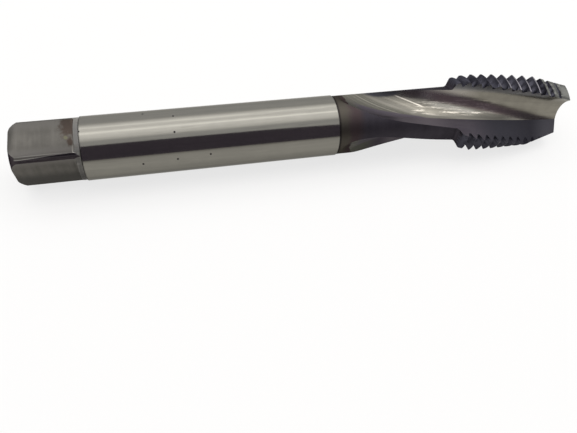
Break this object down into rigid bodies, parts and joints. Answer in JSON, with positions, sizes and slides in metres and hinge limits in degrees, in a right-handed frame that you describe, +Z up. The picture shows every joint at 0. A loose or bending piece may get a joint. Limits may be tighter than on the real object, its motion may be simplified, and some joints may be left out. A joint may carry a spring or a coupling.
{
  "type": "thread tap",
  "caption": "Machine tap with spiral flutes, a reduced cylindrical shank and a square drive, for cutting a coarse right-hand thread in a drilled hole.",
  "frame": {"origin": "on the tap's axis, at the middle of the end face of the drive square", "axes": "+X along the axis from the drive square to the cutting tip, +Z up with the tap lying on two of its lands, and +Y to the left as seen from the drive end"},
  "size_m": [0.11, 0.016, 0.015],
  "materials": {
    "tool_steel": "ground shank with a dark hard coating on the cutting end"
  },
  "bodies": {
    "root": {"tap": "tool_steel"}
  },
  "joints": []
}
